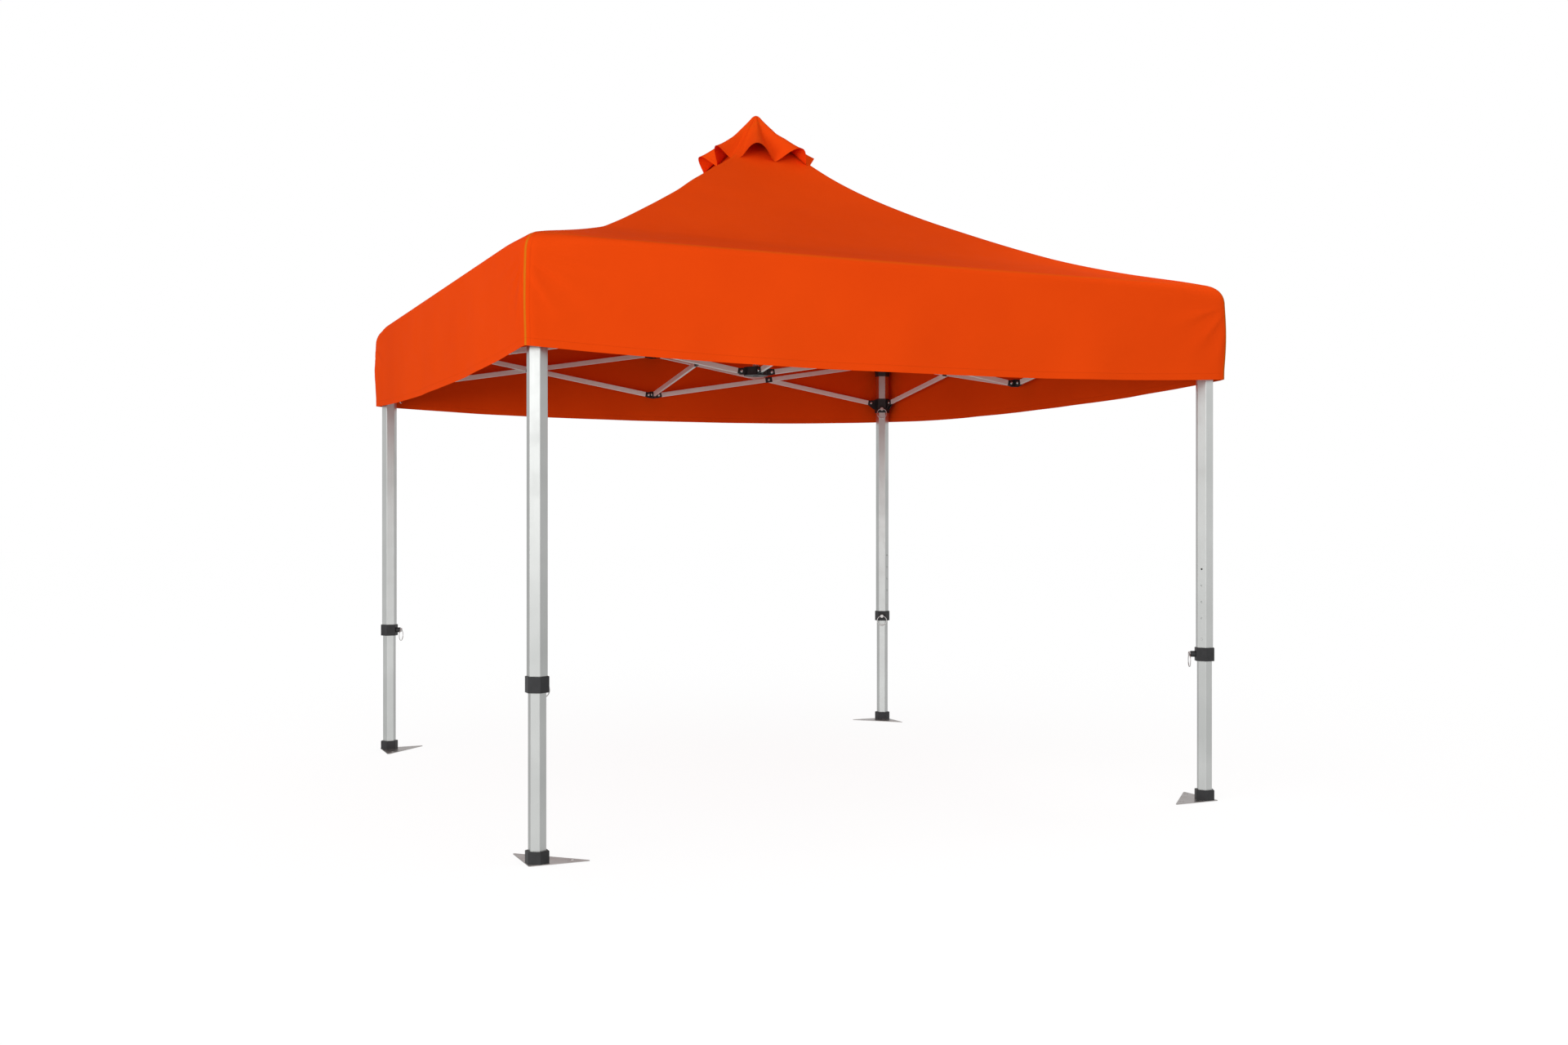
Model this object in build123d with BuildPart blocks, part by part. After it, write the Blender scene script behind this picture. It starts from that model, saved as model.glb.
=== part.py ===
"""A pop-up tarp shelter: fabric roof over four telescoping legs and a folding scissor frame.

The frame has four equal quarters, each a turn of 90 degrees about +Z, so every repeated piece is
made once for the front side, or for the front left corner, and written in four turned copies.
Units are millimetres. The origin is on the ground at the centre, +X right and +Y to the back.
"""

import math
import os

from build123d import *

os.makedirs("parts", exist_ok=True)

UP = Vector(0, 0, 1)
RIGHT = Vector(1, 0, 0)
BACK = Vector(0, 1, 0)
QUARTER = 90
CORNERS = ("front_left", "front_right", "back_right", "back_left")
SIDES = ("front", "right", "back", "left")

# Frame layout
HALF_SPAN = 1460  # centre of the shelter to the line of the legs
PIVOT_HIGH = 2131  # upper pivots: upper hub, upper mid joints and leg tops
PIVOT_LOW = 1905  # lower pivots: lower hub, lower mid joints and sliders
LEG_PIVOT = 72  # leg axis to the pivots on its brackets
MID_PIVOT = 30  # mid joint centre to the pivots of the side bars
MID_INNER_PIVOT = 28  # mid joint centre to the pivot of its hub bar
HUB_PIVOT = 74  # shelter axis to the pivots on the hubs
OUTER_PLANE = 16  # how far outside the leg line the slider bars lie
HUB_PLANE = 8  # how far each hub bar lies beside the shelter's centre plane

# Truss bars: rectangular tube with plastic end plugs
BAR_TALL = 26
BAR_THICK = 13
BAR_WALL = 1.5
BAR_EDGE = 2.5
EYE_REACH = 18  # pivot to the end of the tube
PLUG_DEPTH = 22
PLUG_GAP = 0.2

# Pivot bolts
BOLT_R = 4
PIVOT_GAP = 0.05  # running clearance on a bolt
OPEN_GAP = 0.3  # clearance at a pivot that closes a loop of bars
HEAD_R = 7
HEAD_TALL = 3.5
HEAD_TAPER = 25
SPACER_R = 14
SPACER_TALL = 2.4

# Forks that hold the bar ends
FORK_GAP = 13.8
EAR_THICK = 4
EAR_R = 15
MID_CORE = 22
MID_CORE_TALL = 38
HUB_CORE_R = 52
HUB_CORE_TALL = 36
HUB_FLANGE_R = 58
HUB_FLANGE_TALL = 4

# Legs: hexagonal tubes, sizes are the length of one side
OUTER_HEX = 38
OUTER_WALL = 2
INNER_HEX = 33
INNER_WALL = 1.8
SLEEVE_HEX = 44  # collar, top bracket and foot cap
SLIDER_HEX = 45.5
SLIDER_GAP = 0.6
GUIDE_GAP = 0.6
COLLAR_CENTRE = 625
COLLAR_TALL = 57
COLLAR_LIP = 4
OUTER_TOP = 2150
BRACKET_BOTTOM = 2066
BRACKET_TOP = 2155
INNER_TOP = 960
SLIDER_BOTTOM = 1847
SLIDER_TOP = 1931
SLIDER_PIN_Z = 1867
FOOT_TALL = 43
FOOT_FLOOR = 5
PLATE_THICK = 3
PLATE_CORNER = 40  # leg axis to the plate's two straight edges
PLATE_SIDE = 218
PLATE_TIP = 7
PLATE_ROUND = 5
PEG_HOLE_R = 9
PEG_HOLE_NEAR = 35
PEG_HOLE_FAR = 165
SIDE_HOLE_R = 4
SIDE_HOLE_FIRST = 779
SIDE_HOLE_PITCH = 70
SIDE_HOLE_COUNT = 4
RIVET_Z = 690
RIVET_R = 5.5
RIVET_TALL = 2

# Pull pins on the collars and sliders, measured outwards from the leg axis
PIN_R = 4
PIN_GAP = 0.3
BOSS_R = 13
BOSS_END = 58
KNOB_START = 58.6
KNOB_END = 67.4
KNOB_R = 10
KNOB_EDGE = 1.5
COLLAR_PIN_TIP = 29.4
SLIDER_PIN_TIP = 33.8
LOCK_HOLE_R = 4.6
RING_R = 28
RING_WIRE_R = 1.9
RING_RISE = 0.9
RING_HOLE_R = 3.6

# Telescoping centre mast
MAST_R = 18.6
SLEEVE_R = 16.8
ROD_R = 15
MAST_WALL = 1.5
MAST_FIT = 0.1
MAST_BOTTOM = 1965
MAST_TOP = 2993
SLEEVE_BOTTOM = 1945
SLEEVE_TOP = 2345
ROD_BOTTOM = 1890
ROD_TOP = 2960
PEAK_DISC_R = 45
PEAK_DISC_TALL = 8
PEAK_SPIKE_R = 9
PEAK_TOP = 3106

# Fabric: (half width, height) of each square section, from the bottom up
CLOTH = 2
HEM = 1762
ROOF = ((1512, 2172), (1475, 2193), (1100, 2314), (635, 2524), (390, 2700), (190, 2873), (20, 3030))
VENT = ((213, 2900), (140, 2935), (72, 3003), (35, 3060), (12, 3112), (5, 3122))

LEG = Vector(-HALF_SPAN, -HALF_SPAN, 0)
PIN_WAY = Vector(math.cos(math.radians(60)), math.sin(math.radians(60)), 0)
SIDE_HOLE_WAY = Vector(math.cos(math.radians(120)), math.sin(math.radians(120)), 0)
CUT = 400  # longer than any wall that a hole goes through


def save(name, solids):
    """Writes one node, made of one or more separate solids."""
    node = Compound([solid for part in solids for solid in part.solids()])
    node.label = name
    export_step(node, f"parts/{name}.step")


def save_turned(names, solids):
    """Writes the piece of the front side or front left corner and its three turned copies."""
    for turn, name in enumerate(names):
        save(name, [part.rotate(Axis.Z, QUARTER * turn) for part in solids])


def bolt(start, end):
    """A pivot bolt whose shank runs from start to end, with a low head beyond each."""
    way = (end - start).normalized()
    with BuildPart() as made:
        with BuildSketch(Plane(origin=start, z_dir=way)):
            Circle(BOLT_R)
        extrude(amount=(end - start).length)
        with BuildSketch(Plane(origin=start, z_dir=-way)):
            Circle(HEAD_R)
        extrude(amount=HEAD_TALL, taper=HEAD_TAPER)
        with BuildSketch(Plane(origin=end, z_dir=way)):
            Circle(HEAD_R)
        extrude(amount=HEAD_TALL, taper=HEAD_TAPER)
    return made.part


def fork_bolt(pivot, outward):
    """The bolt through a fork's two ears."""
    half = outward.cross(UP) * (FORK_GAP / 2 + EAR_THICK)
    return bolt(pivot - half, pivot + half)


def add_fork(pivot, outward, reach, above, below):
    """Adds two ears beside a bar end. Their roots lie reach behind the pivot, this tall."""
    across = outward.cross(UP)
    for start in (-FORK_GAP / 2 - EAR_THICK, FORK_GAP / 2):
        with BuildSketch(Plane(origin=pivot + across * start, x_dir=outward, z_dir=across)) as ear:
            Circle(EAR_R)
            with Locations((-reach + 1, (above - below) / 2)):
                Rectangle(2, above + below)
            make_hull()
        extrude(ear.sketch, amount=EAR_THICK)


def cut_fork_bore(pivot, outward):
    """Bores both ears of a fork for its bolt."""
    across = outward.cross(UP)
    with BuildSketch(Plane(origin=pivot, z_dir=across)) as bore:
        Circle(BOLT_R + PIVOT_GAP)
    extrude(bore.sketch, amount=FORK_GAP / 2 + EAR_THICK + 1, both=True, mode=Mode.SUBTRACT)


def end_plug(pivot, inward, across, bore):
    """A plastic plug with the rounded eye that closes one end of a truss bar."""
    with BuildPart() as plug:
        with BuildSketch(Plane(origin=pivot, x_dir=inward, z_dir=across)):
            Circle(BAR_TALL / 2)
            with Locations((EYE_REACH / 2, 0)):
                Rectangle(EYE_REACH, BAR_TALL)
        extrude(amount=BAR_THICK / 2, both=True)
        with BuildSketch(Plane(origin=pivot + inward * EYE_REACH, x_dir=across, z_dir=inward)):
            Rectangle(
                BAR_THICK - 2 * (BAR_WALL + PLUG_GAP),
                BAR_TALL - 2 * (BAR_WALL + PLUG_GAP),
            )
        extrude(amount=PLUG_DEPTH)
        with BuildSketch(Plane(origin=pivot, z_dir=across)):
            Circle(bore)
        extrude(amount=BAR_THICK, both=True, mode=Mode.SUBTRACT)
    return plug.part


def truss_bar(inner, outer, across, inner_gap, outer_gap, cross_gap):
    """A bar between two pivots: its tube and its two end plugs, as separate solids."""
    along = (outer - inner).normalized()
    middle = (inner + outer) * 0.5
    tube_half = (outer - inner).length / 2 - EYE_REACH
    with BuildPart() as tube:
        with BuildSketch(Plane(origin=middle, x_dir=across, z_dir=along)):
            RectangleRounded(BAR_THICK, BAR_TALL, BAR_EDGE)
            RectangleRounded(
                BAR_THICK - 2 * BAR_WALL,
                BAR_TALL - 2 * BAR_WALL,
                BAR_EDGE - BAR_WALL,
                mode=Mode.SUBTRACT,
            )
        extrude(amount=tube_half, both=True)
        with BuildSketch(Plane(origin=middle, z_dir=across)):
            Circle(BOLT_R + cross_gap)
        extrude(amount=BAR_THICK, both=True, mode=Mode.SUBTRACT)
    return [
        tube.part,
        end_plug(inner, along, across, BOLT_R + inner_gap),
        end_plug(outer, -along, across, BOLT_R + outer_gap),
    ]


def crossing(middle, other_way):
    """The spacer and bolt that a bar carries at its middle, for the bar beside it."""
    face = middle + other_way * (BAR_THICK / 2)
    with BuildPart() as spacer:
        with BuildSketch(Plane(origin=face, z_dir=other_way)):
            Circle(SPACER_R)
            Circle(BOLT_R + PIVOT_GAP, mode=Mode.SUBTRACT)
        extrude(amount=SPACER_TALL)
    far_face = middle + other_way * (OUTER_PLANE + BAR_THICK / 2 + OPEN_GAP)
    return [spacer.part, bolt(middle - other_way * (BAR_THICK / 2), far_face)]


def hexagon(side):
    """A hexagon with a flat towards +X, in the sketch being drawn."""
    RegularPolygon(side, 6, rotation=30)


# ---------------------------------------------------------------- truss bars

mid_x = MID_PIVOT
leg_x = HALF_SPAN - LEG_PIVOT
line_y = -HALF_SPAN
outside_y = -HALF_SPAN - OUTER_PLANE
for half, mirror in ((1, -1), (2, 1)):
    names = [f"slider_bar_{side}_{half}" for side in SIDES]
    high_mid = Vector(mirror * mid_x, outside_y, PIVOT_HIGH)
    low_leg = Vector(mirror * leg_x, outside_y, PIVOT_LOW)
    save_turned(names, truss_bar(high_mid, low_leg, BACK, PIVOT_GAP, OPEN_GAP, OPEN_GAP))

    names = [f"leg_bar_{side}_{half}" for side in SIDES]
    low_mid = Vector(mirror * mid_x, line_y, PIVOT_LOW)
    high_leg = Vector(mirror * leg_x, line_y, PIVOT_HIGH)
    leg_bar = truss_bar(low_mid, high_leg, BACK, PIVOT_GAP, OPEN_GAP, PIVOT_GAP)
    save_turned(names, leg_bar + crossing((low_mid + high_leg) * 0.5, -BACK))

mid_y = -HALF_SPAN + MID_INNER_PIVOT
high_hub = Vector(HUB_PLANE, -HUB_PIVOT, PIVOT_HIGH)
low_outer = Vector(HUB_PLANE, mid_y, PIVOT_LOW)
upper_bar = truss_bar(high_hub, low_outer, RIGHT, PIVOT_GAP, PIVOT_GAP, PIVOT_GAP)
upper_bar += crossing((high_hub + low_outer) * 0.5, -RIGHT)
save_turned([f"upper_hub_bar_{side}" for side in SIDES], upper_bar)

low_hub = Vector(-HUB_PLANE, -HUB_PIVOT, PIVOT_LOW)
high_outer = Vector(-HUB_PLANE, mid_y, PIVOT_HIGH)
lower_bar = truss_bar(low_hub, high_outer, RIGHT, OPEN_GAP, PIVOT_GAP, PIVOT_GAP)
save_turned([f"lower_hub_bar_{side}" for side in SIDES], lower_bar)

# ---------------------------------------------------------------- mid joints


def mid_joint(height, side_y, inner_x):
    """The block in the middle of a side: two forks for side bars and one for a hub bar."""
    left_pivot = Vector(-MID_PIVOT, side_y, height)
    right_pivot = Vector(MID_PIVOT, side_y, height)
    inner_pivot = Vector(inner_x, mid_y, height)
    tall = MID_CORE_TALL / 2
    inner_reach = mid_y - (side_y + FORK_GAP / 2 + 1)
    with BuildPart() as block:
        with BuildSketch(Plane.XY.offset(height - tall)):
            with Locations((0, side_y)):
                Rectangle(MID_CORE, FORK_GAP + 2 * EAR_THICK)
        extrude(amount=2 * tall)
        add_fork(left_pivot, -RIGHT, MID_PIVOT, tall, tall)
        add_fork(right_pivot, RIGHT, MID_PIVOT, tall, tall)
        add_fork(inner_pivot, BACK, inner_reach, tall, tall)
        cut_fork_bore(left_pivot, RIGHT)
        cut_fork_bore(right_pivot, RIGHT)
        cut_fork_bore(inner_pivot, BACK)
    return [
        block.part,
        fork_bolt(left_pivot, RIGHT),
        fork_bolt(right_pivot, RIGHT),
        fork_bolt(inner_pivot, BACK),
    ]


upper_mid = mid_joint(PIVOT_HIGH, outside_y, -HUB_PLANE)
save_turned([f"upper_mid_joint_{side}" for side in SIDES], upper_mid)
lower_mid = mid_joint(PIVOT_LOW, line_y, HUB_PLANE)
save_turned([f"lower_mid_joint_{side}" for side in SIDES], lower_mid)

# ---------------------------------------------------------------- hubs and mast


def hub(name, height, lateral, bore):
    """A hub with a fork towards each side and a bore along the shelter's axis."""
    ways = [Vector(0, -1, 0), Vector(1, 0, 0), Vector(0, 1, 0), Vector(-1, 0, 0)]
    pivots = [way * HUB_PIVOT + UP.cross(way) * lateral + UP * height for way in ways]
    tall = HUB_CORE_TALL / 2
    with BuildPart() as core:
        with BuildSketch(Plane.XY.offset(height - tall)):
            Circle(HUB_CORE_R)
        extrude(amount=2 * tall)
        with BuildSketch(Plane.XY.offset(height - tall), Plane.XY.offset(height + tall)):
            Circle(HUB_FLANGE_R)
        extrude(amount=HUB_FLANGE_TALL / 2, both=True)
        for pivot, way in zip(pivots, ways):
            add_fork(pivot, way, HUB_PIVOT - HUB_CORE_R / 2, tall - 1, tall - 1)
        for pivot, way in zip(pivots, ways):
            cut_fork_bore(pivot, way)
        with BuildSketch(Plane.XY.offset(height)):
            Circle(bore)
        extrude(amount=HUB_CORE_TALL, both=True, mode=Mode.SUBTRACT)
    bolts = [fork_bolt(pivot, way) for pivot, way in zip(pivots, ways)]
    save(name, [core.part, *bolts])


def mast_stage(name, radius, bottom, top):
    """One tube of the mast."""
    with BuildPart() as stage:
        with BuildSketch(Plane.XY.offset(bottom)):
            Circle(radius)
            Circle(radius - MAST_WALL, mode=Mode.SUBTRACT)
        extrude(amount=top - bottom)
    save(name, [stage.part])


hub("upper_hub", PIVOT_HIGH, HUB_PLANE, MAST_R + MAST_FIT)
hub("lower_hub", PIVOT_LOW, -HUB_PLANE, ROD_R + MAST_FIT)
mast_stage("mast_tube", MAST_R, MAST_BOTTOM, MAST_TOP)
mast_stage("mast_sleeve", SLEEVE_R, SLEEVE_BOTTOM, SLEEVE_TOP)
mast_stage("mast_rod", ROD_R, ROD_BOTTOM, ROD_TOP)

with BuildPart() as peak_cap:
    with BuildSketch(Plane.XY.offset(MAST_TOP)):
        Circle(PEAK_DISC_R)
    extrude(amount=PEAK_DISC_TALL)
    with BuildSketch(Plane.XY.offset(MAST_TOP)):
        Circle(PEAK_SPIKE_R)
    extrude(amount=PEAK_TOP - MAST_TOP)
    fillet(peak_cap.edges().group_by(Axis.Z)[-1], PEAK_SPIKE_R - 1)
save("peak_cap", [peak_cap.part])

# ---------------------------------------------------------------- legs


def cut_pin_bore(height, radius, start, end):
    """Bores along a pull pin's axis, from one distance to another from the leg axis."""
    with BuildSketch(Plane(origin=LEG + PIN_WAY * start + UP * height, z_dir=PIN_WAY)) as bore:
        Circle(radius)
    extrude(bore.sketch, amount=end - start, mode=Mode.SUBTRACT)


def add_boss(height):
    """Adds the round housing of a pull pin."""
    start = OUTER_HEX * 0.9
    with BuildSketch(Plane(origin=LEG + PIN_WAY * start + UP * height, z_dir=PIN_WAY)) as boss:
        Circle(BOSS_R)
    extrude(boss.sketch, amount=BOSS_END - start)


def leg_plane(height):
    return Plane(origin=LEG + UP * height)


with BuildPart() as outer_tube:
    with BuildSketch(leg_plane(COLLAR_CENTRE - COLLAR_TALL / 2 + COLLAR_LIP)) as outer_section:
        hexagon(OUTER_HEX)
        fillet(outer_section.vertices(), 3)
        offset(amount=-OUTER_WALL, mode=Mode.SUBTRACT)
    extrude(amount=OUTER_TOP - (COLLAR_CENTRE - COLLAR_TALL / 2 + COLLAR_LIP))
    cut_pin_bore(COLLAR_CENTRE, LOCK_HOLE_R, INNER_HEX * 0.8, CUT)
    cut_pin_bore(SLIDER_PIN_Z, LOCK_HOLE_R, INNER_HEX * 0.8, CUT)
    for hole in range(SIDE_HOLE_COUNT):
        height = SIDE_HOLE_FIRST + hole * SIDE_HOLE_PITCH
        with BuildSketch(Plane(origin=LEG + UP * height, z_dir=SIDE_HOLE_WAY)):
            Circle(SIDE_HOLE_R)
        extrude(amount=CUT, mode=Mode.SUBTRACT)

with BuildPart() as collar:
    with BuildSketch(leg_plane(COLLAR_CENTRE - COLLAR_TALL / 2)):
        hexagon(SLEEVE_HEX)
    extrude(amount=COLLAR_TALL)
    fillet(collar.edges().filter_by(Axis.Z), 3)
    chamfer(collar.faces().sort_by(Axis.Z)[-1].edges(), 1.5)
    add_boss(COLLAR_CENTRE)
    with BuildSketch(leg_plane(COLLAR_CENTRE - COLLAR_TALL / 2 + COLLAR_LIP)) as collar_pocket:
        hexagon(OUTER_HEX)
        fillet(collar_pocket.vertices(), 3)
    extrude(amount=COLLAR_TALL, mode=Mode.SUBTRACT)
    with BuildSketch(leg_plane(COLLAR_CENTRE - COLLAR_TALL / 2)):
        hexagon(INNER_HEX + GUIDE_GAP)
    extrude(amount=COLLAR_TALL, mode=Mode.SUBTRACT)
    cut_pin_bore(COLLAR_CENTRE, PIN_R + PIN_GAP, 0, CUT)

bracket_pivots = (
    (LEG + RIGHT * LEG_PIVOT + UP * PIVOT_HIGH, RIGHT),
    (LEG + BACK * LEG_PIVOT + UP * PIVOT_HIGH, BACK),
)
with BuildPart() as bracket:
    with BuildSketch(leg_plane(BRACKET_BOTTOM)):
        hexagon(SLEEVE_HEX)
    extrude(amount=BRACKET_TOP - BRACKET_BOTTOM)
    fillet(bracket.edges().filter_by(Axis.Z), 3)
    chamfer(bracket.faces().sort_by(Axis.Z)[-1].edges(), 1.5)
    for pivot, way in bracket_pivots:
        add_fork(pivot, way, LEG_PIVOT - OUTER_HEX / 2, 21, 52)
    for pivot, way in bracket_pivots:
        cut_fork_bore(pivot, way)
    with BuildSketch(leg_plane(BRACKET_BOTTOM)) as bracket_pocket:
        hexagon(OUTER_HEX)
        fillet(bracket_pocket.vertices(), 3)
    extrude(amount=OUTER_TOP - BRACKET_BOTTOM, mode=Mode.SUBTRACT)

with BuildPart() as rivet:
    flat = OUTER_HEX * math.cos(math.radians(30))
    with BuildSketch(Plane(origin=LEG + UP * RIVET_Z + SIDE_HOLE_WAY * flat, z_dir=SIDE_HOLE_WAY)):
        Circle(RIVET_R)
    extrude(amount=RIVET_TALL, taper=HEAD_TAPER)

bracket_bolts = [fork_bolt(pivot, way) for pivot, way in bracket_pivots]
outer_leg = [outer_tube.part, collar.part, bracket.part, rivet.part, *bracket_bolts]
save_turned([f"outer_leg_{corner}" for corner in CORNERS], outer_leg)

with BuildPart() as inner_tube:
    with BuildSketch(leg_plane(PLATE_THICK + FOOT_FLOOR)) as inner_section:
        hexagon(INNER_HEX)
        fillet(inner_section.vertices(), 3)
        offset(amount=-INNER_WALL, mode=Mode.SUBTRACT)
    extrude(amount=INNER_TOP - PLATE_THICK - FOOT_FLOOR)
    cut_pin_bore(COLLAR_CENTRE, LOCK_HOLE_R, INNER_HEX / 2, CUT)

with BuildPart() as foot_cap:
    with BuildSketch(leg_plane(PLATE_THICK)):
        hexagon(SLEEVE_HEX)
    extrude(amount=FOOT_TALL)
    fillet(foot_cap.edges().filter_by(Axis.Z), 3)
    chamfer(foot_cap.faces().sort_by(Axis.Z)[-1].edges(), 1.5)
    with BuildSketch(leg_plane(PLATE_THICK + FOOT_FLOOR)) as foot_pocket:
        hexagon(INNER_HEX)
        fillet(foot_pocket.vertices(), 3)
    extrude(amount=FOOT_TALL, mode=Mode.SUBTRACT)

with BuildPart() as foot_plate:
    with BuildSketch(leg_plane(0)) as plate_outline:
        near = -PLATE_CORNER
        far = PLATE_SIDE - PLATE_CORNER
        with BuildLine():
            Polyline(
                (near, near),
                (far, near),
                (far, near + PLATE_TIP),
                (near + PLATE_TIP, far),
                (near, far),
                close=True,
            )
        make_face()
        fillet(plate_outline.vertices().sort_by(Axis.Y)[:2].sort_by(Axis.X)[0], PLATE_ROUND)
        first = near + PEG_HOLE_NEAR
        second = near + PEG_HOLE_FAR
        with Locations((second, first), (first, second)):
            Circle(PEG_HOLE_R, mode=Mode.SUBTRACT)
    extrude(amount=PLATE_THICK)

inner_leg = [inner_tube.part, foot_cap.part, foot_plate.part]
save_turned([f"inner_leg_{corner}" for corner in CORNERS], inner_leg)

# ---------------------------------------------------------------- sliders

slider_pivots = (
    (LEG + RIGHT * LEG_PIVOT - BACK * OUTER_PLANE + UP * PIVOT_LOW, RIGHT),
    (LEG + BACK * LEG_PIVOT - RIGHT * OUTER_PLANE + UP * PIVOT_LOW, BACK),
)
with BuildPart() as slider:
    with BuildSketch(leg_plane(SLIDER_BOTTOM)):
        hexagon(SLIDER_HEX)
    extrude(amount=SLIDER_TOP - SLIDER_BOTTOM)
    fillet(slider.edges().filter_by(Axis.Z), 3)
    chamfer(slider.faces().sort_by(Axis.Z)[-1].edges(), 1.5)
    for pivot, way in slider_pivots:
        add_fork(pivot, way, LEG_PIVOT - OUTER_HEX / 2, 21, 50)
    add_boss(SLIDER_PIN_Z)
    for pivot, way in slider_pivots:
        cut_fork_bore(pivot, way)
    with BuildSketch(leg_plane(SLIDER_BOTTOM)):
        hexagon(OUTER_HEX + SLIDER_GAP)
    extrude(amount=SLIDER_TOP - SLIDER_BOTTOM, mode=Mode.SUBTRACT)
    cut_pin_bore(SLIDER_PIN_Z, PIN_R + PIN_GAP, 0, CUT)
slider_bolts = [fork_bolt(pivot, way) for pivot, way in slider_pivots]
save_turned([f"slider_{corner}" for corner in CORNERS], [slider.part, *slider_bolts])

# ---------------------------------------------------------------- pull pins


def pull_pin(height, tip):
    """A sprung pin with its knob, and the ring that hangs in the knob."""
    axis_foot = LEG + UP * height
    sideways = PIN_WAY.cross(UP)
    ring_reach = (KNOB_START + KNOB_END) / 2
    with BuildPart() as pin:
        with BuildSketch(Plane(origin=axis_foot + PIN_WAY * tip, z_dir=PIN_WAY)):
            Circle(PIN_R)
        extrude(amount=KNOB_START - tip)
        with BuildSketch(Plane(origin=axis_foot + PIN_WAY * KNOB_START, z_dir=PIN_WAY)):
            Circle(KNOB_R)
        extrude(amount=KNOB_END - KNOB_START)
        chamfer(pin.edges().filter_by(GeomType.CIRCLE).sort_by(SortBy.RADIUS)[-2:], KNOB_EDGE)
        with BuildSketch(Plane(origin=axis_foot + PIN_WAY * ring_reach, z_dir=sideways)):
            Circle(RING_HOLE_R)
        extrude(amount=KNOB_R, both=True, mode=Mode.SUBTRACT)
    ring_centre = axis_foot + PIN_WAY * ring_reach + UP * (RING_RISE - RING_R)
    with BuildPart(Plane(origin=ring_centre, z_dir=PIN_WAY)) as ring:
        Torus(RING_R, RING_WIRE_R)
    return [pin.part, ring.part]


collar_pin = pull_pin(COLLAR_CENTRE, COLLAR_PIN_TIP)
save_turned([f"collar_pin_{corner}" for corner in CORNERS], collar_pin)
slider_pin = pull_pin(SLIDER_PIN_Z, SLIDER_PIN_TIP)
save_turned([f"slider_pin_{corner}" for corner in CORNERS], slider_pin)

# ---------------------------------------------------------------- fabric


def add_squares(sections, mode):
    """Adds or cuts the body whose square sections these are."""
    squares = []
    for half_width, height in sections:
        with BuildSketch(Plane.XY.offset(height)) as square:
            Rectangle(2 * half_width, 2 * half_width)
        squares.append(square.sketch)
    loft(squares, ruled=True, mode=mode)


def inside(sections):
    """The same sections, one cloth thickness further in and down."""
    return [(half_width - CLOTH, height - CLOTH) for half_width, height in sections]


with BuildPart() as canopy:
    add_squares(((ROOF[0][0], HEM), *ROOF), Mode.ADD)
    add_squares(((ROOF[0][0] - CLOTH, HEM - CLOTH), *inside(ROOF)), Mode.SUBTRACT)
    with BuildSketch(Plane.XY.offset(ROOF[-1][1] - 3 * CLOTH)):
        Rectangle(2 * (ROOF[-1][0] - CLOTH), 2 * (ROOF[-1][0] - CLOTH))
    extrude(amount=4 * CLOTH, mode=Mode.SUBTRACT)
save("canopy", [canopy.part])

with BuildPart() as vent_cap:
    add_squares(VENT, Mode.ADD)
    add_squares(((VENT[0][0], VENT[0][1] - CLOTH), *inside(VENT[1:])), Mode.SUBTRACT)
save("vent_cap", [vent_cap.part])
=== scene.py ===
"""Looks for the tarp shelter: fabric roof, vent cap, fittings, materials, stage and camera."""

import math

import bmesh
import bpy
import numpy as np
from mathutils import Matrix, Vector


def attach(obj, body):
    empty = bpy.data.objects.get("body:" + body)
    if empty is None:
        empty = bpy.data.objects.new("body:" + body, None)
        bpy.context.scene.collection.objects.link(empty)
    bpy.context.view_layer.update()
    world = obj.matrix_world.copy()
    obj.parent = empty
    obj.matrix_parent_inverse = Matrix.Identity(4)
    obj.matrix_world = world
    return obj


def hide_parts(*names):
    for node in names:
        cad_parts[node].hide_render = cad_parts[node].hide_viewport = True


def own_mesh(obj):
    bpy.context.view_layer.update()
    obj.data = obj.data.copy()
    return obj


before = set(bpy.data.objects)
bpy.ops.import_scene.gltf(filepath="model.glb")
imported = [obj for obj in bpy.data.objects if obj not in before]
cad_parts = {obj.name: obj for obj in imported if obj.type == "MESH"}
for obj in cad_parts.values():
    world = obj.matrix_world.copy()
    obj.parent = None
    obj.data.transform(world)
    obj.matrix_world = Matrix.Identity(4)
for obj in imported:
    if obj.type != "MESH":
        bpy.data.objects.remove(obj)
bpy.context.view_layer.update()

CORNERS = ("front_left", "front_right", "back_right", "back_left")
SIDES = ("front", "right", "back", "left")
LEG_OUT = 1.46  # a leg's axis from the mast, along x and along y
PIVOT_HIGH, PIVOT_LOW = 2.131, 1.905  # heights of the bars' upper and lower pivots
CROSSING = 2.018  # height of the bar crossings
SIDE_CROSSING = 0.709  # a perimeter crossing from the middle of its side
HUB_CROSSING = 0.753  # a hub bars' crossing from the mast
HUB_PIVOT, MID_HUB_PIVOT = 0.074, 1.432  # the hub bars' inner and outer ends from the mast
MID_PIVOT, CORNER_PIVOT = 0.030, 1.388  # the perimeter bars' ends from the middle of their side
SIDE_PLANE = 0.016  # the outer of two crossing perimeter bars stands this much further out
HUB_PLANE = 0.008  # each of two crossing hub bars stands this much beside the mast
TUBE_HALF = 0.6704  # half the bare tube of a bar, up to its end plugs


# ------------------------------------------------------------------ node helpers


def new_material(name):
    mat = bpy.data.materials.new(name)
    mat.use_nodes = True
    tree = mat.node_tree
    return mat, tree, tree.nodes["Principled BSDF"]


def node(tree, kind, **values):
    made = tree.nodes.new(kind)
    for key, value in values.items():
        setattr(made, key, value)
    return made


def link(tree, source, target):
    tree.links.new(source, target)


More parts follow.
